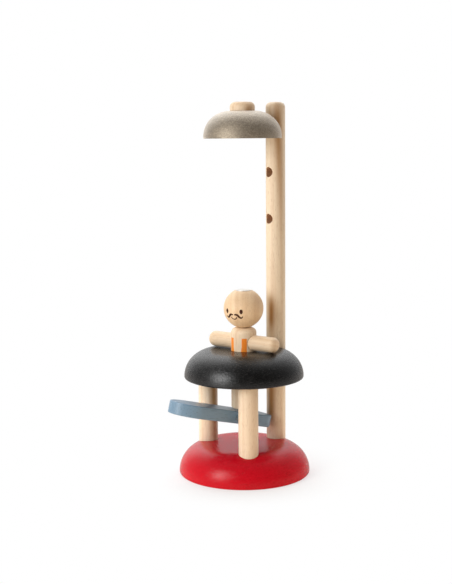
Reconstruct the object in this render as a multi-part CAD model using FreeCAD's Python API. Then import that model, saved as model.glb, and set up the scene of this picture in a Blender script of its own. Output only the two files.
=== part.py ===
# Wooden acrobat toy. A turned figure stands in the hole of a black platform. Pressing the blue paddle tips
# a see-saw lever under the figure's foot and throws it up to the bell, where a magnet catches the plate on
# its head. Millimetres. The origin is the centre of the base's underside, +Z is up, the tall post stands on
# +X and the paddle points to -X.

import FreeCAD, Part
import math
import os

V = FreeCAD.Vector
UP = V(0, 0, 1)

# Clearances
glue_gap = 0.05            # radial gap of a glued dowel in its hole
rest_gap = 0.3             # between two pieces that rest on each other and move apart
axle_running_gap = 0.08    # radial gap of the lever's axle in the posts
neck_running_gap = 0.05    # radial gap of the neck dowel in the head and the body
peg_running_gap = 0.1      # radial gap of the bell's peg in the post's holes
body_running_gap = 0.4     # radial gap of the figure's body in the platform's hole
bell_post_gap = 0.3        # between the bell's hollowed seat and the tall post
lever_post_gap = 0.8       # between the swinging end of the lever and the tall post
softening = 0.6            # small round on sawn or drilled edges
same_place = 1e-4          # points nearer than this are one point

# Base
base_radius = 61.0
base_height = 27.0
base_flat_radius = 35.0    # flat top inside the turned shoulder
base_edge_height = 2.0     # height of the widest circle above the table
base_socket_depth = 19.0

# Posts
post_diameter = 18.0
post_circle_radius = 37.4  # posts' axes round the toy's axis
post_spacing_deg = 120.0
tall_post_top = 343.0      # above the table
tall_post_round = 5.0

# Platform
platform_radius = 55.5
platform_flat_radius = 30.0
platform_underside = 90.3  # above the table
platform_thickness = 25.7
platform_edge_height = 1.5
platform_socket_depth = 14.0

# Lever
lever_thickness = 11.2
lever_paddle_width = 34.4
lever_tail_width = 28.4
lever_paddle_reach = 63.4  # axle to the tip of the paddle
lever_tip_length = 22.3    # length of the rounded tip
lever_tail_corner = 12.0
lever_edge_round = 1.0
lever_tilt_deg = 14.6      # paddle above level when the figure stands
lever_axle_height = 57.1   # above the table
axle_diameter = 4.0
axle_bore_depth = 10.0
axle_end_round = 0.4

# Figure
body_diameter = 23.7
body_above_arms = 13.6     # arms' axis to the shoulders' top
shoulder_round = 5.0
foot_round = 2.0
arm_diameter = 14.2
arm_reach = 37.1           # toy's axis to the hand's end
arm_round = 5.0
arm_socket_depth = 6.3
arm_socket_edge = 0.4      # small round on the mouths of the arms' sockets
arm_heading_deg = -70.7    # left arm, from +X
head_radius = 18.4
head_lower_flat_radius = 4.2
head_upper_flat_radius = 8.1
neck_dowel_diameter = 8.0
neck_depth_in_body = 12.0
neck_depth_in_head = 14.0
plate_diameter = 14.4
plate_thickness = 1.2
plate_proud = 0.6

# Bell
bell_radius = 35.5
bell_height = 24.6
bell_flat_radius = 11.6
bell_band_height = 2.0     # upright band above the rim
bell_rim_width = 2.6
bell_dish_depth = 9.0
bell_recess_radius = 11.7
bell_recess_top = 13.0     # above the rim
bell_peg_above_rim = 12.1
peg_diameter = 9.0
peg_depth_in_bell = 8.5
peg_hole_depth = 12.0
peg_end_gap = 1.0
peg_hole_count = 3
peg_hole_spacing = 43.1
top_peg_hole_drop = 20.8   # below the tall post's top
knob_radius = 11.3
knob_height = 8.0
knob_round = 4.5
stem_diameter = 14.0
stem_end_above_rim = 8.4
magnet_diameter = 6.0
magnet_length = 5.0

# Heights and places that follow
post_radius = post_diameter / 2
post_foot_height = base_height - base_socket_depth
platform_top = platform_underside + platform_thickness
axle_radius = axle_diameter / 2
body_radius = body_diameter / 2
body_hole_radius = body_radius + body_running_gap
arm_radius = arm_diameter / 2
arm_height = platform_top + rest_gap + arm_radius
body_top = arm_height + body_above_arms
head_centre_height = body_top + math.sqrt(head_radius ** 2 - head_lower_flat_radius ** 2)
head_top = head_centre_height + math.sqrt(head_radius ** 2 - head_upper_flat_radius ** 2)
neck_bore_radius = neck_dowel_diameter / 2 + neck_running_gap
peg_radius = peg_diameter / 2
top_peg_hole_height = tall_post_top - top_peg_hole_drop
rim_height = top_peg_hole_height - bell_peg_above_rim
bell_top = rim_height + bell_height
stem_radius = stem_diameter / 2
stem_end = rim_height + stem_end_above_rim
magnet_radius = magnet_diameter / 2
post_face = post_circle_radius - post_radius       # tall post's surface nearest the toy's axis
seat_face = post_face - bell_post_gap              # deepest line of the bell's hollowed seat
peg_hole_radius = peg_radius + peg_running_gap


def around(angle_deg, radius, height=0.0):
    """A point on a circle about the toy's axis."""
    turn = math.radians(angle_deg)
    return V(radius * math.cos(turn), radius * math.sin(turn), height)


def quarter_ellipse(start, corner, end):
    """An exact quarter of an ellipse that leaves start and reaches end along the sides of the corner."""
    curve = Part.BezierCurve()
    curve.setPoles([start, corner, end])
    curve.setWeight(2, math.sqrt(0.5))
    return curve.toShape()


def line(start, end):
    """A straight edge."""
    return Part.LineSegment(start, end).toShape()


def turned(edges):
    """A solid turned about Z from a closed outline in the XZ plane."""
    return Part.Face(Part.Wire(edges)).revolve(V(0, 0, 0), UP, 360)


def rod(radius, low, high, low_round=0.0, high_round=0.0):
    """A dowel on Z with rounded ends."""
    edges = []
    inner_low, inner_high = V(0, 0, low), V(0, 0, high)
    low_rim, high_rim = V(radius, 0, low), V(radius, 0, high)
    low_end, high_start = low_rim, high_rim
    if low_round:
        low_start = V(radius - low_round, 0, low)
        low_end = V(radius, 0, low + low_round)
        edges += [line(inner_low, low_start), quarter_ellipse(low_start, low_rim, low_end)]
    else:
        edges += [line(inner_low, low_rim)]
    if high_round:
        high_start = V(radius, 0, high - high_round)
    edges += [line(low_end, high_start)]
    if high_round:
        high_end = V(radius - high_round, 0, high)
        edges += [quarter_ellipse(high_start, high_rim, high_end), line(high_end, inner_high)]
    else:
        edges += [line(high_rim, inner_high)]
    edges += [line(inner_high, inner_low)]
    return turned(edges)


def laid(shape, place, direction):
    """Turns a shape from Z to the direction and moves it to the place."""
    result = shape.copy()
    result.Placement = FreeCAD.Placement(place, FreeCAD.Rotation(UP, direction))
    return result


def turned_dome(radius, flat_radius, low, high, edge_height):
    """A flat-topped dome with an elliptical shoulder and a small round under its widest circle."""
    foot = V(radius - edge_height, 0, low)
    widest = V(radius, 0, low + edge_height)
    shoulder = V(flat_radius, 0, high)
    return turned([
        line(V(0, 0, low), foot),
        quarter_ellipse(foot, V(radius, 0, low), widest),
        quarter_ellipse(widest, V(radius, 0, high), shoulder),
        line(shoulder, V(0, 0, high)),
        line(V(0, 0, high), V(0, 0, low)),
    ])


def edges_where(shape, test):
    """The shape's edges whose points all pass the test."""
    return [edge for edge in shape.Edges if all(test(point) for point in edge.discretize(5))]


def near(value, target):
    return abs(value - target) < same_place


tall_post_place = around(0, post_circle_radius)
short_post_places = {
    "short_post_left": around(post_spacing_deg, post_circle_radius),
    "short_post_front": around(-post_spacing_deg, post_circle_radius),
}
post_places = [tall_post_place, *short_post_places.values()]

# The axle crosses the toy from one short post to the other
axle_x = short_post_places["short_post_left"].x
axle_centre = V(axle_x, 0, lever_axle_height)
axle_bore_end = short_post_places["short_post_left"].y - post_radius + axle_bore_depth
lever_swing_radius = post_face - lever_post_gap - axle_x
lever_tail_reach = math.sqrt(lever_swing_radius ** 2 - (lever_thickness / 2) ** 2)


def make_base():
    """Turned and painted dome with a blind socket for each post."""
    base = turned_dome(base_radius, base_flat_radius, 0, base_height, base_edge_height)
    for place in post_places:
        socket = Part.makeCylinder(post_radius + glue_gap, base_height, place + UP * post_foot_height)
        base = base.cut(socket)
    return base


def make_platform():
    """Smaller dome that the posts carry, with the round hole that guides the figure."""
    platform = turned_dome(
        platform_radius, platform_flat_radius, platform_underside, platform_top, platform_edge_height
    )
    hole = Part.makeCylinder(body_hole_radius, platform_thickness, UP * platform_underside)
    platform = platform.cut(hole)
    rims = edges_where(platform, lambda point: (
        near(math.hypot(point.x, point.y), body_hole_radius)
        and (near(point.z, platform_top) or near(point.z, platform_underside))
    ))
    platform = platform.makeFillet(softening, rims)
    tall_hole = Part.makeCylinder(
        post_radius + glue_gap, platform_thickness, tall_post_place + UP * platform_underside
    )
    platform = platform.cut(tall_hole)
    for place in short_post_places.values():
        socket = Part.makeCylinder(
            post_radius + glue_gap, platform_socket_depth, place + UP * platform_underside
        )
        platform = platform.cut(socket)
    return platform


def make_tall_post():
    """The mast, with a row of peg holes that face the toy's axis."""
    post = rod(post_radius, post_foot_height, tall_post_top, softening, tall_post_round)
    post.translate(tall_post_place)
    hole_start = post_face - post_radius
    hole_length = post_radius + peg_hole_depth
    for i in range(peg_hole_count):
        height = top_peg_hole_height - i * peg_hole_spacing
        post = post.cut(Part.makeCylinder(peg_hole_radius, hole_length, V(hole_start, 0, height), V(1, 0, 0)))
        mouth = edges_where(post, lambda point: (
            near(math.hypot(point.y, point.z - height), peg_hole_radius)
            and near(math.hypot(point.x - post_circle_radius, point.y), post_radius)
        ))
        post = post.makeFillet(softening, mouth)
    return post


def make_short_post(place):
    """A leg between base and platform, bored from the inside for the lever's axle."""
    post_head_height = platform_underside + platform_socket_depth
    post = rod(post_radius, post_foot_height, post_head_height, softening, softening)
    post.translate(place)
    side = math.copysign(1, place.y)
    bore = Part.makeCylinder(
        axle_radius + axle_running_gap, axle_bore_end, V(place.x, 0, lever_axle_height), V(0, side, 0)
    )
    return post.cut(bore)


def make_lever():
    """The see-saw board: a tapered plank with a round paddle tip, drilled across for its axle."""
    half_tip = lever_paddle_width / 2
    half_tail = lever_tail_width / 2
    tip_start = lever_tip_length - lever_paddle_reach
    corner_start = lever_tail_reach - lever_tail_corner
    corner_half = half_tail - lever_tail_corner
    tip = V(-lever_paddle_reach, 0, 0)
    edges = [line(V(lever_tail_reach, corner_half, 0), V(lever_tail_reach, -corner_half, 0))]
    for side in (1, -1):
        widest = V(tip_start, side * half_tip, 0)
        tail_side = V(corner_start, side * half_tail, 0)
        tail_end = V(lever_tail_reach, side * corner_half, 0)
        edges += [
            quarter_ellipse(tip, V(-lever_paddle_reach, side * half_tip, 0), widest),
            line(widest, tail_side),
            quarter_ellipse(tail_side, V(lever_tail_reach, side * half_tail, 0), tail_end),
        ]
    board = Part.Face(Part.Wire(Part.__sortEdges__(edges))).extrude(UP * lever_thickness)
    flat_rims = edges_where(board, lambda point: near(point.z, 0) or near(point.z, lever_thickness))
    board = board.makeFillet(lever_edge_round, flat_rims)
    board.translate(UP * (-lever_thickness / 2))
    bore = Part.makeCylinder(
        axle_radius + glue_gap, lever_paddle_width, V(0, -lever_paddle_width / 2, 0), V(0, 1, 0)
    )
    board = board.cut(bore)
    board.rotate(V(0, 0, 0), V(0, 1, 0), lever_tilt_deg)
    board.translate(axle_centre)
    return board


def make_lever_axle():
    """A steel pin, pressed into the lever, whose ends turn in the short posts."""
    half = axle_bore_end - rest_gap
    return laid(rod(axle_radius, -half, half, axle_end_round, axle_end_round), axle_centre, V(0, 1, 0))


def foot_height():
    """Height of the foot's flat end, whose rounded rim lies one rest gap above the tilted lever."""
    tilt = math.radians(lever_tilt_deg)
    ring = body_radius - foot_round
    lever_top_at_ring = (
        lever_axle_height + lever_thickness / 2 / math.cos(tilt) + (ring + axle_x) * math.tan(tilt)
    )
    return lever_top_at_ring + (foot_round + rest_gap) / math.cos(tilt) - foot_round


def arm_direction(side):
    """The figure faces between its arms, so the right arm points opposite to the left one."""
    return around(arm_heading_deg if side == "left" else arm_heading_deg + 180, 1)


def make_body():
    """The figure's body, a dowel with round shoulders, drilled for the arms and the neck."""
    body = rod(body_radius, foot_height(), body_top, foot_round, shoulder_round)
    socket_radius = arm_radius + glue_gap
    for side in ("left", "right"):
        direction = arm_direction(side)
        start = direction * (body_radius - arm_socket_depth) + UP * arm_height
        body = body.cut(Part.makeCylinder(socket_radius, body_radius, start, direction))
        mouth = edges_where(body, lambda point: (
            near(math.hypot(point.x, point.y), body_radius)
            and point.dot(direction) > 0
            and near(point.distanceToLine(UP * arm_height, direction), socket_radius)
        ))
        body = body.makeFillet(arm_socket_edge, mouth)
    neck_floor = UP * (body_top - neck_depth_in_body)
    return body.cut(Part.makeCylinder(neck_bore_radius, neck_depth_in_body, neck_floor))


def make_arm(side):
    """A short dowel with a round hand, let into the body's side."""
    direction = arm_direction(side)
    arm = rod(arm_radius, body_radius - arm_socket_depth, arm_reach, 0.0, arm_round)
    return laid(arm, UP * arm_height, direction)


def make_head():
    """A ball with a small flat under it and another on top, recessed for the steel plate."""
    ball = Part.makeSphere(head_radius, UP * head_centre_height)
    slab = Part.makeCylinder(head_radius, head_top - body_top, UP * body_top)
    head = ball.common(slab)
    neck = Part.makeCylinder(neck_bore_radius, neck_depth_in_head, UP * body_top)
    plate_floor = head_top + plate_proud - plate_thickness
    recess = Part.makeCylinder(plate_diameter / 2 + glue_gap, plate_thickness, UP * plate_floor)
    return head.cut(neck).cut(recess)


def make_neck_dowel():
    """The hidden dowel that joins the head to the body."""
    low = body_top - neck_depth_in_body + rest_gap
    high = body_top + neck_depth_in_head - rest_gap
    return rod(neck_dowel_diameter / 2, low, high, softening, softening)


def make_head_plate():
    """The thin steel disc that the magnet holds, with a broken edge."""
    top = head_top + plate_proud
    return rod(plate_diameter / 2, top - plate_thickness, top, 0.0, plate_proud / 2)


def make_bell():
    """Turned dome, dished underneath, recessed round the stem and hollowed at one side for the post."""
    dish_rim_radius = bell_radius - bell_rim_width
    dish_radius = (dish_rim_radius ** 2 + bell_dish_depth ** 2) / (2 * bell_dish_depth)
    dish_centre = rim_height + bell_dish_depth - dish_radius
    rim = V(bell_radius, 0, rim_height)
    band_top = V(bell_radius, 0, rim_height + bell_band_height)
    shoulder = V(bell_flat_radius, 0, bell_top)
    bell = turned([
        line(V(0, 0, rim_height), rim),
        line(rim, band_top),
        quarter_ellipse(band_top, V(bell_radius, 0, bell_top), shoulder),
        line(shoulder, V(0, 0, bell_top)),
        line(V(0, 0, bell_top), V(0, 0, rim_height)),
    ])
    bell = bell.cut(Part.makeSphere(dish_radius, UP * dish_centre))
    bell = bell.cut(Part.makeCylinder(bell_recess_radius, bell_recess_top, UP * rim_height))
    bell = bell.cut(Part.makeCylinder(stem_radius + glue_gap, bell_height, UP * rim_height))
    seat = Part.makeCylinder(post_radius + bell_post_gap, bell_height, tall_post_place + UP * rim_height)
    bell = bell.cut(seat)
    peg_hole = Part.makeCylinder(
        peg_radius + glue_gap, peg_depth_in_bell + post_radius,
        V(seat_face - peg_depth_in_bell, 0, top_peg_hole_height), V(1, 0, 0)
    )
    return bell.cut(peg_hole)


def make_knob():
    """The bell's top button, whose stem passes through the crown and holds the magnet."""
    button = rod(knob_radius, bell_top, bell_top + knob_height, softening, knob_round)
    stem = rod(stem_radius, stem_end, bell_top + knob_round, softening, 0.0)
    knob = button.fuse(stem).removeSplitter()
    return knob.cut(Part.makeCylinder(magnet_radius + glue_gap, magnet_length, UP * stem_end))


def make_magnet():
    """The round magnet in the stem's end."""
    return rod(magnet_radius, stem_end, stem_end + magnet_length, softening / 2, 0.0)


def make_peg():
    """The dowel that plugs the bell into a hole of the tall post."""
    start = seat_face - peg_depth_in_bell
    end = post_face + peg_hole_depth - peg_end_gap
    return laid(rod(peg_radius, start, end, 0.0, softening), UP * top_peg_hole_height, V(1, 0, 0))


nodes = {
    "base": make_base(),
    "tall_post": make_tall_post(),
    "platform": make_platform(),
    "lever": make_lever(),
    "lever_axle": make_lever_axle(),
    "acrobat_body": make_body(),
    "acrobat_arm_left": make_arm("left"),
    "acrobat_arm_right": make_arm("right"),
    "acrobat_head": make_head(),
    "neck_dowel": make_neck_dowel(),
    "head_plate": make_head_plate(),
    "bell": make_bell(),
    "bell_knob": make_knob(),
    "bell_magnet": make_magnet(),
    "bell_peg": make_peg(),
}
for name, place in short_post_places.items():
    nodes[name] = make_short_post(place)

os.makedirs("parts", exist_ok=True)
for name, shape in nodes.items():
    solids = shape.Solids
    piece = solids[0] if len(solids) == 1 else Part.Compound(solids)
    piece.exportStep("parts/" + name + ".step")
    print(name, len(solids), "solid", round(piece.Volume / 1000, 2), "cm3", piece.isValid())
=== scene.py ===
import bpy
import math
from mathutils import Matrix, Vector


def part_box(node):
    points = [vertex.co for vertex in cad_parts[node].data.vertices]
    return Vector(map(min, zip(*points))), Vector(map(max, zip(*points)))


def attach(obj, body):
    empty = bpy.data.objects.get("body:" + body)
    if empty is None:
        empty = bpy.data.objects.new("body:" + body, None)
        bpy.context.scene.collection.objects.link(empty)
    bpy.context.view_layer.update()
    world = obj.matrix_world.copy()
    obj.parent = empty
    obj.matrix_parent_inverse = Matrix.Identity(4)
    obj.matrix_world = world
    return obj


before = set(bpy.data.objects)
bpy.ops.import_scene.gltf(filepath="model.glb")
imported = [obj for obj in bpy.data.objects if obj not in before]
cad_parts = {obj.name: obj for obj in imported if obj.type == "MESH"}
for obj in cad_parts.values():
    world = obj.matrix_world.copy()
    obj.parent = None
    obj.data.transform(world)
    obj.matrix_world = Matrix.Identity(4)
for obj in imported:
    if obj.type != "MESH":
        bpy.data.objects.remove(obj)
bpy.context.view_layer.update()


# The camera
# It stands a metre from the toy at the height of the bell's rim and looks slightly down, as the photo's did.
# Its place, turns and lens are worked out from the ellipses of the base, the platform and the bell.
camera_place = Vector((-0.5937, -0.8274, 0.3110))
camera_heading = math.radians(-34.757)
camera_tilt = math.radians(82.115)
camera_roll = math.radians(-0.482)
camera_lens_mm = 68.77
camera_sensor_mm = 36
camera_turn = (
    Matrix.Rotation(camera_heading, 4, "Z")
    @ Matrix.Rotation(camera_tilt, 4, "X")
    @ Matrix.Rotation(camera_roll, 4, "Z")
)
bpy.ops.object.camera_add(location=camera_place, rotation=camera_turn.to_euler())
camera = bpy.context.object
camera.data.lens = camera_lens_mm
camera.data.sensor_width = camera_sensor_mm
bpy.context.scene.camera = camera
bpy.context.scene.view_settings.view_transform = "Standard"


# The studio
# A round softbox with a paler veil round it at the front left, and a white backdrop behind the toy with two
# bright patches above it. Soft fills light matt surfaces only, and the room is darker behind the camera.
# The floor is white where the camera sees it, and keeps the toy's soft shadow.
def add(tree, kind, inputs=(), **settings):
    """Adds a shader node, sets it, and joins or fills its inputs."""
    made = tree.nodes.new("ShaderNode" + kind)
    for name, value in settings.items():
        setattr(made, name, value)
    for place, value in dict(inputs).items():
        if isinstance(value, bpy.types.NodeSocket):
            tree.links.new(value, made.inputs[place])
        else:
            made.inputs[place].default_value = value
    return made


def calc(tree, operation, first, second=0.0):
    """A math node's result."""
    return add(tree, "Math", {0: first, 1: second}, operation=operation).outputs[0]


def total(tree, first, *others):
    """The sum of several values."""
    for other in others:
        first = calc(tree, "ADD", first, other)
    return first


def product(tree, first, *others):
    """Several values multiplied."""
    for other in others:
        first = calc(tree, "MULTIPLY", first, other)
    return first


def ramp(tree, value, low, high, at_low=0.0, at_high=1.0, smooth=False):
    """One result up to low and another from high, with a straight or a smooth step between."""
    kind = "SMOOTHSTEP" if smooth else "LINEAR"
    ends = {0: value, 1: low, 2: high, 3: at_low, 4: at_high}
    return add(tree, "MapRange", ends, interpolation_type=kind).outputs[0]


def mixed_value(tree, share, first, second):
    """A number between two, by a share."""
    return add(tree, "Mix", {0: share, 2: first, 3: second}, data_type="FLOAT").outputs[0]


def mixed_colour(tree, share, first, second):
    """A colour between two, by a share that varies over the surface."""
    return add(tree, "Mix", {0: share, 6: first, 7: second}, data_type="RGBA").outputs[2]


def new_material(name):
    """An empty material and its node tree."""
    material = bpy.data.materials.new(name)
    material.use_nodes = True
    material.node_tree.nodes.clear()
    return material, material.node_tree


def object_place(tree):
    """Where a point lies on its piece at rest, in metres."""
    return add(tree, "TexCoord").outputs["Object"]


def studio_direction(azimuth_deg, elevation_deg):
    """A direction seen from the toy: azimuth 0 is towards the camera and positive to its right."""
    azimuth, elevation = math.radians(azimuth_deg), math.radians(elevation_deg)
    towards = Vector((camera_place.x, camera_place.y, 0)).normalized()
    right = Vector((-towards.y, towards.x, 0))
    level = towards * math.cos(azimuth) + right * math.sin(azimuth)
    return level * math.cos(elevation) + Vector((0, 0, math.sin(elevation)))


def softbox(name, distance, size, power):
    """An oval area lamp at the front left, aimed at the middle of the toy."""
    toy_middle = Vector((0, 0, 0.16))
    place = toy_middle + studio_direction(azimuth_deg=-46, elevation_deg=17) * distance
    turn = (place - toy_middle).to_track_quat("Z", "Y").to_euler()
    bpy.ops.object.light_add(type="AREA", location=place, rotation=turn)
    lamp = bpy.context.object
    lamp.name = name
    lamp.data.shape = "ELLIPSE"
    lamp.data.size, lamp.data.size_y = size
    lamp.data.energy = power


softbox("lamp_front_left", distance=0.80, size=(0.30, 0.36), power=2.18)
softbox("lamp_front_left_veil", distance=0.79, size=(0.58, 0.68), power=2.15)

world = bpy.data.worlds.new("white_room")
bpy.context.scene.world = world
world.use_nodes = True
air = world.node_tree
air.nodes.clear()
direction = add(air, "TexCoord").outputs["Generated"]


def closeness(azimuth_deg, elevation_deg):
    """How closely a ray of the room points in one direction, from -1 to 1."""
    aim = studio_direction(azimuth_deg, elevation_deg)
    return add(air, "VectorMath", {0: direction, 1: aim}, operation="DOT_PRODUCT").outputs["Value"]


def lobe(azimuth_deg, elevation_deg, sharpness, strength):
    """A soft round patch in the room: bright, or dark where its strength is negative."""
    facing = calc(air, "MAXIMUM", closeness(azimuth_deg, elevation_deg), 0.0)
    return product(air, calc(air, "POWER", facing, sharpness), strength)


facing_camera = closeness(0, 0)
facing_right = closeness(90, 0)
height = add(air, "SeparateXYZ", {0: direction}).outputs["Z"]
backdrop = ramp(air, facing_camera, -0.86, -0.58, at_low=0.95, at_high=0.0, smooth=True)
horizon = ramp(air, height, 0.10, 0.38, at_low=0.55, at_high=1.0, smooth=True)
sides = ramp(air, facing_camera, -0.50, 0.50, at_low=0.42, at_high=0.14)
upper_left = lobe(-157, 56, sharpness=12.0, strength=1.30)
upper_right = lobe(157, 58, sharpness=12.0, strength=1.40)
gap_behind_toy = lobe(180, 20, sharpness=80.0, strength=-0.70)
room = total(air, product(air, backdrop, horizon), sides, upper_left, upper_right, gap_behind_toy)
room = product(air, room, ramp(air, facing_right, -0.5, 0.5, at_low=1.15, at_high=0.75))
left_fill = lobe(-80, 15, sharpness=2.5, strength=0.62)
right_fill = lobe(105, 0, sharpness=3.0, strength=1.35)
back_fill = lobe(180, 40, sharpness=2.0, strength=0.85)
filled_room = total(air, room, total(air, left_fill, right_fill, back_fill))
rays = add(air, "LightPath").outputs
level = mixed_value(air, rays["Is Glossy Ray"], filled_room, room)
seen_white = calc(air, "MAXIMUM", rays["Is Camera Ray"], rays["Is Transmission Ray"])
level = mixed_value(air, seen_white, level, 1.0)
warmth = product(air, ramp(air, facing_camera, -0.4, 0.5), rays["Is Diffuse Ray"])
tone = mixed_colour(air, warmth, (1, 1, 1, 1), (1.0, 0.68, 0.44, 1))
shown = add(air, "Background", {"Color": tone, "Strength": level})
add(air, "OutputWorld", {"Surface": shown.outputs[0]})

# The floor's contact shadow, and the light that it throws up, fade between two distances from the toy's axis
shadow_strength = 0.42
shadow_fade = (0.060, 0.115)
bounce_fade = (0.10, 0.45)
paper_colour = (0.84, 0.87, 0.90, 1)
paper_in_mirrors = (0.60, 0.60, 0.60, 1)
paper_near_toy = (0.95, 0.78, 0.60)
lift_colour = (1.0, 0.80, 0.60, 1)
bpy.ops.mesh.primitive_plane_add(size=6.0, location=(0, 0, 0))
floor = bpy.context.object
floor.name = "studio_floor"
paper, tree = new_material("white_paper")
rays = add(tree, "LightPath").outputs
from_toy = add(tree, "VectorMath", {0: object_place(tree)}, operation="LENGTH").outputs["Value"]
bounce = ramp(tree, from_toy, *bounce_fade, at_low=1.0, at_high=0.40, smooth=True)
bounce = add(tree, "VectorMath", {0: paper_near_toy, "Scale": bounce}, operation="SCALE").outputs[0]
tint = mixed_colour(tree, rays["Is Diffuse Ray"], paper_colour, bounce)
tint = mixed_colour(tree, rays["Is Glossy Ray"], tint, paper_in_mirrors)
matt = add(tree, "BsdfDiffuse", {"Color": tint})
lift = ramp(tree, from_toy, *bounce_fade, at_low=0.50, at_high=0.0, smooth=True)
lift = add(tree, "Emission", {"Color": lift_colour, "Strength": product(tree, lift, rays["Is Diffuse Ray"])})
lit = add(tree, "AddShader", {0: matt.outputs[0], 1: lift.outputs[0]})
glow = add(tree, "Emission", {"Color": (1, 1, 1, 1), "Strength": 1.0})
shadow = ramp(tree, from_toy, *shadow_fade, at_low=shadow_strength, at_high=0.0, smooth=True)
keep_white = product(tree, rays["Is Camera Ray"], calc(tree, "SUBTRACT", 1.0, shadow))
mixed = add(tree, "MixShader", {0: keep_white, 1: lit.outputs[0], 2: glow.outputs[0]})
add(tree, "OutputMaterial", {"Surface": mixed.outputs[0]})
floor.data.materials.append(paper)


# The base
# A turned dome of light hardwood under glossy red lacquer, whose open pores still show through the paint.
# Its grain lies flat, as in any turning cut from a board, and the three posts are glued in its sockets.
def new_group(name, inputs, outputs):
    """An empty shader node group with the named sockets."""
    made = bpy.data.node_groups.new(name, "ShaderNodeTree")
    for label, kind, value in inputs:
        socket = made.interface.new_socket(label, in_out="INPUT", socket_type="NodeSocket" + kind)
        if value is not None:
            socket.default_value = value
    for label in outputs:
        made.interface.new_socket(label, in_out="OUTPUT", socket_type="NodeSocketFloat")
    return made, made.nodes.new("NodeGroupInput").outputs, made.nodes.new("NodeGroupOutput").inputs


def stretched_noise(tree, place, scale, detail, roughness=0.5):
    """Noise whose grains have the size 1 / scale along each axis."""
    scaled = add(tree, "VectorMath", {0: place, 1: scale}, operation="MULTIPLY")
    return add(
        tree, "TexNoise",
        {"Vector": scaled.outputs[0], "Scale": 1.0, "Detail": detail, "Roughness": roughness},
    ).outputs["Fac"]


def between(tree, value, low, high):
    """A share: 0 up to low and 1 from high, with a smooth step between."""
    return ramp(tree, value, low, high, smooth=True)


timber, given, result = new_group(
    "timber",
    [("Place", "Vector", None), ("Ring Width", "Float", 0.003), ("Pore Size", "Float", 1.0)],
    ["Rings", "Fibres", "Pores"],
)
# Growth rings round a pith line along Z, bent a little by a slow noise
bend_scale = (30, 30, 5)
bend_reach = 0.006
bend = add(timber, "VectorMath", {0: given["Place"], 1: bend_scale}, operation="MULTIPLY")
bend = add(timber, "TexNoise", {"Vector": bend.outputs[0], "Scale": 1.0, "Detail": 2.0})
bend = add(timber, "VectorMath", {0: bend.outputs["Color"], 1: (0.5, 0.5, 0.5)}, operation="SUBTRACT")
bend = add(timber, "VectorMath", {0: bend.outputs[0], "Scale": bend_reach}, operation="SCALE")
bent = add(timber, "VectorMath", {0: given["Place"], 1: bend.outputs[0]}, operation="ADD")
flat = add(timber, "VectorMath", {0: bent.outputs[0], 1: (1, 1, 0)}, operation="MULTIPLY")
radius = add(timber, "VectorMath", {0: flat.outputs[0]}, operation="LENGTH").outputs["Value"]
years = calc(timber, "DIVIDE", radius, given["Ring Width"])
uneven = add(timber, "TexNoise", {"W": years, "Scale": 0.8, "Detail": 2.0}, noise_dimensions="1D")
late = calc(timber, "POWER", calc(timber, "FRACT", years), 4.0)
rings = total(timber, product(timber, uneven.outputs["Fac"], 0.88), product(timber, late, 0.12))
timber.links.new(rings, result["Rings"])
# Fine fibres, and pores that are short dark dashes along the grain
fine = stretched_noise(timber, given["Place"], (1500, 1500, 30), detail=3.0, roughness=0.6)
broad = stretched_noise(timber, given["Place"], (300, 300, 8), detail=2.0)
fibres = total(timber, product(timber, fine, 0.6), product(timber, broad, 0.4))
timber.links.new(fibres, result["Fibres"])
pore_place = add(timber, "VectorMath", {0: given["Place"], "Scale": given["Pore Size"]}, operation="SCALE")
pore = stretched_noise(timber, pore_place.outputs[0], (2300, 2300, 190), detail=1.0)
timber.links.new(between(timber, pore, 0.60, 0.70), result["Pores"])


def grain_place(tree, along, pith):
    """Object coordinates turned so that the grain runs along Z, with the tree's pith at a distance."""
    turn = Vector(along).normalized().rotation_difference(Vector((0, 0, 1))).to_euler()
    placed = {"Vector": object_place(tree), "Rotation": turn, "Location": (*pith, 0)}
    return add(tree, "Mapping", placed, vector_type="POINT").outputs[0]


def timber_values(tree, place, ring_width, pore_size=1.0):
    """The rings, fibres and pores of the wood at a place."""
    sizes = {"Place": place, "Ring Width": ring_width, "Pore Size": pore_size}
    return add(tree, "Group", sizes, node_tree=timber).outputs


def close_material(tree, inputs):
    """Ends a material with its shader."""
    shader = add(tree, "BsdfPrincipled", inputs)
    add(tree, "OutputMaterial", {"Surface": shader.outputs[0]})


def painted_wood(
    name, colour, thin_colour, pore_colour, along, roughness, relief, speckle,
    specular=0.5, flakes=0.0, coat=0.0, bloom=0.0,
):
    """Sprayed paint over open-grained wood: the pores stay as small dents, and the film varies a little."""
    roughness_spread = 0.06
    material, tree = new_material(name)
    place = grain_place(tree, along, pith=(0.03, 0.11))
    wood = timber_values(tree, place, ring_width=0.004, pore_size=0.6)
    grains = stretched_noise(tree, place, (1100, 1100, 420), detail=3.0, roughness=0.65)
    film = total(tree, product(tree, grains, 0.6), product(tree, wood["Fibres"], 0.4))
    thin = product(tree, between(tree, film, 0.38, 0.66), speckle)
    tone = mixed_colour(tree, thin, colour, thin_colour)
    tone = mixed_colour(tree, product(tree, wood["Pores"], 0.5), tone, pore_colour)
    rough = ramp(tree, grains, 0.3, 0.7, roughness - roughness_spread, roughness + roughness_spread)
    height = calc(tree, "SUBTRACT", grains, product(tree, wood["Pores"], 0.25))
    dents = add(tree, "Bump", {"Strength": 1.0, "Distance": relief, "Height": height}).outputs[0]
    close_material(tree, {
        "Base Color": tone, "Roughness": rough, "Normal": dents, "Specular IOR Level": specular,
        "Metallic": flakes, "Coat Weight": coat, "Coat Roughness": 0.40, "Coat Normal": dents,
        "Sheen Weight": bloom, "Sheen Roughness": 0.55, "Sheen Tint": (1.0, 0.96, 0.88, 1),
    })
    return material


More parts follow.
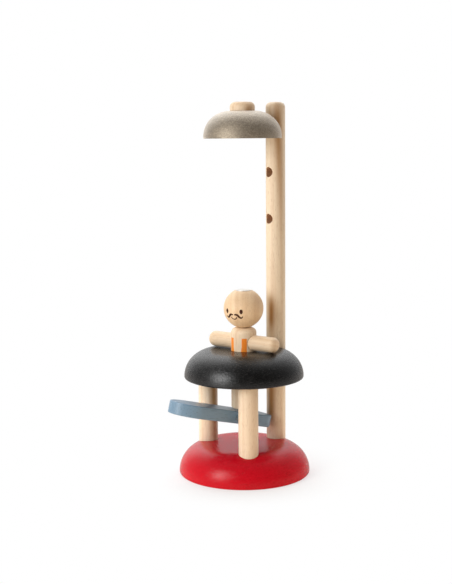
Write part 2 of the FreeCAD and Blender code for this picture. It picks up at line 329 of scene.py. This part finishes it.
def dress(node, material):
    """Gives a CAD node its finish."""
    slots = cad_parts[node].data.materials
    slots.clear()
    slots.append(material)


red_lacquer = painted_wood(
    "red_lacquer",
    colour=(0.48, 0.0035, 0.0125, 1),
    thin_colour=(0.57, 0.009, 0.023, 1),
    pore_colour=(0.30, 0.002, 0.005, 1),
    along=(1, 0.35, 0), roughness=0.17, relief=0.00015, speckle=0.8, specular=0.22,
)
dress("base", red_lacquer)


# The posts
# Three straight dowels of pale hardwood, sanded and clear sealed, glued in the base and the platform.
# Their grain is fine and straight with end grain on top. Brown streaks are painted up two of them: on the
# tall post they are partly darker grain and partly painted shade, and the left post's is a darker band up
# its side.
# The tall one carries the bell, and its peg holes are painted darker inside: darker cut wood and painted
# shade.
def beside_axis(tree, axis):
    """How far a point lies from an upright axis along X and along Y, and its height."""
    spot = add(tree, "SeparateXYZ", {0: object_place(tree)}).outputs
    return calc(tree, "SUBTRACT", spot["X"], axis[0]), calc(tree, "SUBTRACT", spot["Y"], axis[1]), spot["Z"]


def brown_streak(tree, tone, axis, course, start, end, half_width_deg, depth):
    """A brown band painted up a turned piece, which on the tall post is partly painted shade. Its course is
    two pairs of a height and an azimuth in degrees.

    It comes in between the two heights of start, and goes out between those of end.
    """
    streak_brown = (0.42, 0.21, 0.06, 1)
    (low, low_turn), (high, high_turn) = course
    across, beyond, height = beside_axis(tree, axis)
    middle = ramp(tree, height, low, high, math.radians(low_turn), math.radians(high_turn))
    aside = calc(tree, "SUBTRACT", calc(tree, "ARCTAN2", beyond, across), middle)
    band = between(tree, calc(tree, "ABSOLUTE", aside), math.radians(half_width_deg), 0)
    band = product(tree, band, between(tree, height, *start), between(tree, height, *reversed(end)), depth)
    return mixed_colour(tree, band, tone, streak_brown)


def bore_cut_wood_and_shade(tree, tone, axis, reach, top):
    """Darker cut wood and painted shade in a post's cross holes: nearer to its axis than reach, and lower
    than top.
    """
    cut_wood_and_shade = (0.50, 0.280, 0.150, 1)
    soft_edge = 0.0005
    across, beyond, height = beside_axis(tree, axis)
    aside = add(tree, "CombineXYZ", {0: across, 1: beyond})
    from_axis = add(tree, "VectorMath", {0: aside.outputs[0]}, operation="LENGTH").outputs["Value"]
    inside = between(tree, from_axis, reach, reach - soft_edge)
    inside = product(tree, inside, calc(tree, "LESS_THAN", height, top), 0.85)
    return mixed_colour(tree, inside, tone, cut_wood_and_shade)


def clear_wood(
    name, along, pith, light=(0.85, 0.715, 0.530, 1), dark=(0.72, 0.540, 0.350, 1), ring_width=0.0030,
    axis=None, bored=None, streaks=(),
):
    """Sanded and sealed pale hardwood, solid all through, so that end grain shows on the ends."""
    pore_colour = (0.36, 0.20, 0.09, 1)
    material, tree = new_material(name)
    wood = timber_values(tree, grain_place(tree, along, pith), ring_width)
    shade = total(tree, product(tree, wood["Rings"], 0.9), product(tree, wood["Fibres"], 0.7))
    tone = mixed_colour(tree, between(tree, shade, 0.45, 1.15), light, dark)
    for streak in streaks:
        tone = brown_streak(tree, tone, axis, **streak)
    tone = mixed_colour(tree, product(tree, wood["Pores"], 0.30), tone, pore_colour)
    if bored:
        tone = bore_cut_wood_and_shade(tree, tone, axis, **bored)
    rough = ramp(tree, wood["Fibres"], 0.0, 1.0, at_low=0.40, at_high=0.56)
    height = calc(tree, "SUBTRACT", product(tree, wood["Fibres"], 0.5), wood["Pores"])
    bump = add(tree, "Bump", {"Strength": 1.0, "Distance": 0.00002, "Height": height})
    close_material(tree, {"Base Color": tone, "Roughness": rough, "Normal": bump.outputs[0]})
    return material


def axis_of(node):
    """Where the axis of a round upright node stands, along X and along Y, to a micrometre."""
    low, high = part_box(node)
    return round((low.x + high.x) / 2, 6), round((low.y + high.y) / 2, 6)


upright = (0, 0, 1)
# The tall post's streaks are partly darker grain and partly painted shade: below the platform, shaded by it
# and the lever; just above it, shaded by the head; and from under the bell to the top, shaded by the bell.
tall_post_grain_and_shade_streaks = (
    dict(course=((0.050, -158), (0.100, -158)), start=(0.040, 0.054), end=(0.090, 0.110),
         half_width_deg=36, depth=0.90),
    dict(course=((0.130, -157), (0.160, -156)), start=(0.124, 0.144), end=(0.150, 0.170),
         half_width_deg=28, depth=0.90),
    dict(course=((0.240, -97), (0.343, -116)), start=(0.200, 0.320), end=(0.325, 0.355),
         half_width_deg=36, depth=0.80),
)
dress("tall_post", clear_wood(
    "tall_post_wood", upright, pith=(0.045, 0.060),
    light=(0.87, 0.785, 0.625, 1), dark=(0.75, 0.600, 0.430, 1),
    axis=axis_of("tall_post"), bored=dict(reach=0.0088, top=0.330), streaks=tall_post_grain_and_shade_streaks,
))
left_post_streak = dict(
    course=((0.030, -87), (0.090, -87)), start=(0.000, 0.070), end=(0.100, 0.110),
    half_width_deg=40, depth=0.85,
)
dress("short_post_left", clear_wood(
    "left_post_wood", upright, pith=(-0.080, 0.030),
    light=(0.83, 0.745, 0.600, 1), dark=(0.71, 0.565, 0.400, 1),
    axis=axis_of("short_post_left"), streaks=(left_post_streak,),
))
dress("short_post_front", clear_wood(
    "front_post_wood", upright, pith=(0.020, -0.100),
    light=(0.80, 0.705, 0.565, 1), dark=(0.70, 0.565, 0.415, 1),
))


# The platform
# A smaller turned dome of hardwood under black semi-gloss paint, sprayed thinly enough for the pores to
# glitter. It is glued on the posts, and the figure slides in its round hole.
black_paint = painted_wood(
    "black_paint",
    colour=(0.0020, 0.0019, 0.0018, 1),
    thin_colour=(0.0050, 0.0048, 0.0045, 1),
    pore_colour=(0.012, 0.012, 0.012, 1),
    along=(1, -0.5, 0), roughness=0.24, relief=0.00026, speckle=0.8, specular=0.54,
)
dress("platform", black_paint)


# The lever
# A see-saw board with a round paddle, sawn from hardwood, under blue-grey satin paint.
# It rocks between the short posts on a steel pin, and its grain runs along it.
blue_paint = painted_wood(
    "blue_grey_paint",
    colour=(0.168, 0.288, 0.425, 1),
    thin_colour=(0.212, 0.343, 0.480, 1),
    pore_colour=(0.08, 0.12, 0.16, 1),
    along=(1, 0, -0.26), roughness=0.34, relief=0.00005, speckle=0.5,
)
dress("lever", blue_paint)


# The figure
# A dowel body with a ball head and two short dowel arms, all clear sealed, joined by a hidden neck dowel.
# The arms' grain runs along them, so their round hands show end grain.
arm_low, arm_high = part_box("acrobat_arm_left")
arm_direction = Vector((arm_low.x + arm_high.x, arm_low.y + arm_high.y, 0)).normalized()
dress("acrobat_body", clear_wood(
    "body_wood", upright, pith=(0.030, 0.050), light=(0.90, 0.770, 0.580, 1), dark=(0.80, 0.620, 0.430, 1),
))
dress("acrobat_arm_left", clear_wood("left_arm_wood", arm_direction, pith=(0.040, 0.020)))
dress("acrobat_arm_right", clear_wood("right_arm_wood", arm_direction, pith=(-0.050, 0.030)))
dress("acrobat_head", clear_wood(
    "head_wood", upright, pith=(-0.020, 0.035), light=(0.84, 0.670, 0.460, 1), dark=(0.70, 0.500, 0.300, 1),
    ring_width=0.0045,
))
dress("neck_dowel", clear_wood("neck_wood", upright, pith=(0.02, 0.02)))


# The eyes
# Two upright ovals of brown ink, pad printed: thin films that follow the ball of the head.
# The figure faces between its arms, and its face is centred on that line.
mm = 0.001
facing = math.radians(-156.1)
ink_height = 0.04 * mm       # the film's outside above the wood
ink_thickness = 0.06 * mm    # its inside is bonded just under the wood's surface
head_flat_radius = 4.2 * mm  # the flat on the ball's underside
head_low, head_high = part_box("acrobat_head")
head_radius = round(head_high.x, 6)
head_centre_height = round(head_low.z + math.sqrt(head_radius ** 2 - head_flat_radius ** 2), 6)
head_centre = Vector((0, 0, head_centre_height))


def ink_material(name, ink, worn, roughness):
    """Printing ink on sanded wood, a little thinner along the raised fibres."""
    material, tree = new_material(name)
    wood = timber_values(tree, grain_place(tree, upright, pith=(0.03, 0.05)), ring_width=0.003)
    tone = mixed_colour(tree, between(tree, wood["Fibres"], 0.45, 0.75), ink, worn)
    bump = add(tree, "Bump", {"Strength": 1.0, "Distance": 0.00001, "Height": wood["Fibres"]})
    close_material(tree, {
        "Base Color": tone, "Roughness": roughness, "Normal": bump.outputs[0], "Specular IOR Level": 0.25,
    })
    return material


def flat_shape(name, outlines):
    """Filled flat shapes in one mesh, from closed outlines of (x, y, corner) in millimetres.

    They are cut into upright strips, so that they can be bent round the wood.
    """
    strips_per_mm = 2
    bpy.ops.object.select_all(action="DESELECT")
    bpy.ops.curve.primitive_bezier_circle_add(radius=mm)
    drawn = bpy.context.object
    drawn.name = name
    curve = drawn.data
    curve.dimensions = "2D"
    curve.fill_mode = "BOTH"
    curve.resolution_u = 6
    curve.splines.clear()
    for outline in outlines:
        spline = curve.splines.new("BEZIER")
        spline.bezier_points.add(len(outline) - 1)
        spline.use_cyclic_u = True
        for point, (x, y, corner) in zip(spline.bezier_points, outline):
            point.co = (x * mm, y * mm, 0)
            point.handle_left_type = point.handle_right_type = "VECTOR" if corner else "AUTO"
    bpy.ops.object.convert(target="MESH")
    piece = bpy.context.object
    bpy.ops.object.mode_set(mode="EDIT")
    bpy.ops.mesh.select_all(action="SELECT")
    bpy.ops.mesh.remove_doubles(threshold=0.001 * mm)
    low = min(x for outline in outlines for x, y, corner in outline)
    high = max(x for outline in outlines for x, y, corner in outline)
    for i in range(int(low * strips_per_mm), int(high * strips_per_mm) + 1):
        bpy.ops.mesh.select_all(action="SELECT")
        bpy.ops.mesh.bisect(plane_co=(i / strips_per_mm * mm, 0, 0), plane_no=(1, 0, 0))
    bpy.ops.mesh.select_all(action="SELECT")
    bpy.ops.mesh.quads_convert_to_tris()
    bpy.ops.object.mode_set(mode="OBJECT")
    return piece


def wrap_on_head(piece):
    """Bends a flat shape round the ball: its sides are arcs as long as they were drawn."""
    for vertex in piece.data.vertices:
        elevation = vertex.co.y / head_radius
        azimuth = facing + vertex.co.x / head_radius
        level = math.cos(elevation)
        outward = Vector((level * math.cos(azimuth), level * math.sin(azimuth), math.sin(elevation)))
        vertex.co = head_centre + outward * (head_radius + ink_height)


def finish_film(piece, material):
    """Gives the wrapped film its thickness, its ink and its body."""
    thickness = piece.modifiers.new("film", "SOLIDIFY")
    thickness.thickness = ink_thickness
    thickness.offset = -1
    bpy.ops.object.modifier_apply(modifier=thickness.name)
    bpy.ops.object.shade_smooth_by_angle(angle=math.radians(40))
    piece.data.materials.clear()
    piece.data.materials.append(material)
    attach(piece, "acrobat")


def arc_mm(degrees, radius):
    """The length of an arc, in millimetres."""
    return math.radians(degrees) * radius / mm


brown_ink = ink_material("brown_ink", (0.050, 0.014, 0.006, 1), (0.075, 0.024, 0.010, 1), 0.60)
eye_azimuth_deg = 23.3
for name, side in (("eye_left", 1), ("eye_right", -1)):
    middle = arc_mm(side * eye_azimuth_deg, head_radius)
    eye = flat_shape(name, [[
        (middle, 1.40, False), (middle + 1.50, -0.40, False), (middle + 1.00, -2.30, False),
        (middle, -3.10, False), (middle - 1.00, -2.30, False), (middle - 1.50, -0.40, False),
    ]])
    wrap_on_head(eye)
    finish_film(eye, brown_ink)


# The moustache
# Two curled strokes of the same brown ink, each the other's mirror image, that start a little apart under
# the middle of the face. They are pad printed on the ball like the eyes.
def stroke(middles):
    """A closed outline round a line of (azimuth, elevation, width in mm) on the head."""
    points = []
    for azimuth, elevation, width in middles:
        points.append(Vector((arc_mm(azimuth, head_radius), arc_mm(elevation, head_radius))))
    left, right = [], []
    for i, (azimuth, elevation, width) in enumerate(middles):
        along = (points[min(i + 1, len(points) - 1)] - points[max(i - 1, 0)]).normalized()
        across = Vector((-along.y, along.x)) * (width / 2)
        left.append((*(points[i] + across), False))
        right.append((*(points[i] - across), False))
    return left + right[::-1]


halves = []
for side in (1, -1):
    halves.append(stroke([
        (side * 1.6, -12.6, 0.50), (side * 5.5, -11.4, 1.50), (side * 10.0, -11.9, 2.00),
        (side * 13.4, -14.2, 2.10), (side * 16.4, -17.2, 2.00), (side * 19.4, -20.0, 1.80),
        (side * 22.8, -21.2, 1.55), (side * 25.8, -19.7, 1.20), (side * 27.6, -16.2, 0.45),
    ]))
moustache = flat_shape("moustache", halves)
wrap_on_head(moustache)
finish_film(moustache, brown_ink)


# The smile
# One thin curved line under the moustache, in a paler brown ink.
# It is pad printed on the ball like the eyes.
pale_ink = ink_material("pale_brown_ink", (0.070, 0.023, 0.009, 1), (0.105, 0.038, 0.016, 1), 0.60)
smile = flat_shape("smile", [stroke([
    (-9.4, -18.9, 0.60), (-7.6, -22.4, 0.95), (-4.2, -25.1, 1.10), (0, -26.0, 1.10),
    (4.2, -25.1, 1.10), (7.7, -22.5, 0.95), (9.6, -19.0, 0.60),
])])
wrap_on_head(smile)
finish_film(smile, pale_ink)


# The singlet
# An orange singlet with a round neckline between its two straps, pad printed on the front of the body.
# It ends in the platform's hole, where it isn't seen, and the sides and the back are bare wood.
body_radius = round(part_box("acrobat_body")[1].x, 6)


def wrap_on_body(piece):
    """Bends a flat shape round the body. Its heights are above the table."""
    reach = body_radius + ink_height
    for vertex in piece.data.vertices:
        azimuth = facing + vertex.co.x / body_radius
        vertex.co = Vector((reach * math.cos(azimuth), reach * math.sin(azimuth), vertex.co.y))


orange_ink = ink_material("orange_ink", (0.97, 0.290, 0.034, 1), (0.98, 0.350, 0.060, 1), 0.48)
singlet_outline = []
for azimuth, height, corner in (
    (-44, 95.0, True), (44, 95.0, True), (44, 128.2, True), (21, 128.2, True), (20.8, 124.0, False),
    (19.5, 118.5, False), (14.0, 114.6, False), (0, 113.2, False), (-14.0, 114.6, False),
    (-19.5, 118.5, False), (-20.8, 124.0, False), (-21, 128.2, True), (-44, 128.2, True),
):
    singlet_outline.append((arc_mm(azimuth, body_radius), height, corner))
singlet = flat_shape("singlet_print", [singlet_outline])
wrap_on_body(singlet)
finish_film(singlet, orange_ink)


# The plate on the head and the lever's pin
# The plate is a thin pressed disc of bright steel, let into the crown, which the bell's magnet holds.
# The pin is a drawn steel rod, pressed through the lever, whose ends turn in the short posts.
def brushed_metal(name, colour, roughness):
    """Bare metal with fine scratches that all run one way."""
    material, tree = new_material(name)
    scratches = stretched_noise(tree, object_place(tree), (4000, 300, 300), detail=2.0)
    rough = ramp(tree, scratches, 0.0, 1.0, roughness - 0.06, roughness + 0.08)
    bump = add(tree, "Bump", {"Strength": 0.5, "Distance": 0.000005, "Height": scratches})
    close_material(tree, {
        "Base Color": colour, "Metallic": 1.0, "Roughness": rough, "Normal": bump.outputs[0],
    })
    return material


dress("head_plate", brushed_metal("plate_steel", (0.82, 0.795, 0.750, 1), roughness=0.34))
dress("lever_axle", brushed_metal("axle_steel", (0.72, 0.705, 0.68, 1), roughness=0.28))


# The bell
# A turned and dished dome of hardwood under taupe paint with a metallic glint. A natural knob, whose stem
# holds the magnet, and the natural peg that plugs into the tall post are glued in it.
taupe_paint = painted_wood(
    "taupe_paint",
    colour=(0.190, 0.153, 0.106, 1),
    thin_colour=(0.430, 0.355, 0.250, 1),
    pore_colour=(0.09, 0.065, 0.040, 1),
    along=(0.3, 1, 0), roughness=0.41, relief=0.00040, speckle=1.0, flakes=0.8, coat=1.0, bloom=0.85,
)
dress("bell", taupe_paint)
knob_streak = dict(
    course=((0.300, -95), (0.340, -95)), start=(0.300, 0.301), end=(0.335, 0.342),
    half_width_deg=34, depth=0.65,
)
dress("bell_knob", clear_wood(
    "knob_wood", upright, pith=(0.015, 0.030), axis=axis_of("bell_knob"), streaks=(knob_streak,),
))
dress("bell_peg", clear_wood("peg_wood", (1, 0, 0), pith=(0.03, 0.04)))
dress("bell_magnet", brushed_metal("magnet_metal", (0.42, 0.42, 0.43, 1), roughness=0.30))
